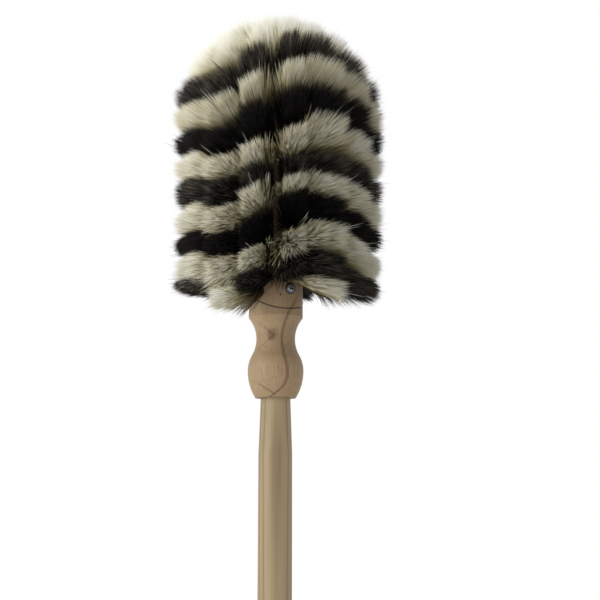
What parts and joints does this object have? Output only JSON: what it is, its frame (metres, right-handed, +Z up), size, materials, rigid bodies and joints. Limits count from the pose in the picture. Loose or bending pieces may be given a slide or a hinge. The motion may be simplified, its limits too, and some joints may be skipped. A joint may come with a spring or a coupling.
{
  "type": "cobweb brush",
  "caption": "Round dome-topped brush head of soft hair tufts on a turned wooden block, fixed to a long round wooden handle, for sweeping dust and webs from ceilings and corners.",
  "frame": {"origin": "centre of the handle's lower end", "axes": "+Z up the handle to the top of the brush head; -Y is the side that the picture shows, with the fixing screw a little to its right"},
  "size_m": [0.1784, 0.1787, 1.4286],
  "materials": {
    "handle_wood": "smooth sanded pale softwood with fine straight grain",
    "block_wood": "turned and sanded beech with small dark flecks",
    "screw_zinc": "bright zinc plating",
    "anchor_wire": "flat galvanised wire",
    "hair_cream": "soft matt natural goat hair, yellowish at the roots and paler at the ends",
    "hair_black": "soft natural goat hair, black with brown ends",
    "hair_grey": "soft natural goat hair, mottled dark brown and grey with pale streaks"
  },
  "bodies": {
    "root": {"handle": "handle_wood", "head_block": "block_wood", "fixing_screw": "screw_zinc", "start_tufts": "hair_cream", "crown_tufts_lower": "hair_cream", "crown_tufts_upper": "hair_cream", "crown_tuft_top": "hair_cream", "tufts_turn_1": "hair_grey", "tufts_turn_2": "hair_cream", "tufts_turn_3": "hair_black", "tufts_turn_4": "hair_cream", "tufts_turn_5": "hair_grey", "tufts_turn_6": "hair_cream", "tufts_turn_7": "hair_black", "tufts_turn_8": "hair_cream", "tufts_turn_9": "hair_grey", "anchors_start": "anchor_wire", "anchors_turn_1": "anchor_wire", "anchors_turn_2": "anchor_wire", "anchors_turn_3": "anchor_wire", "anchors_turn_4": "anchor_wire", "anchors_turn_5": "anchor_wire", "anchors_turn_6": "anchor_wire", "anchors_turn_7": "anchor_wire", "anchors_turn_8": "anchor_wire", "anchors_turn_9": "anchor_wire", "anchors_crown": "anchor_wire"}
  },
  "joints": []
}
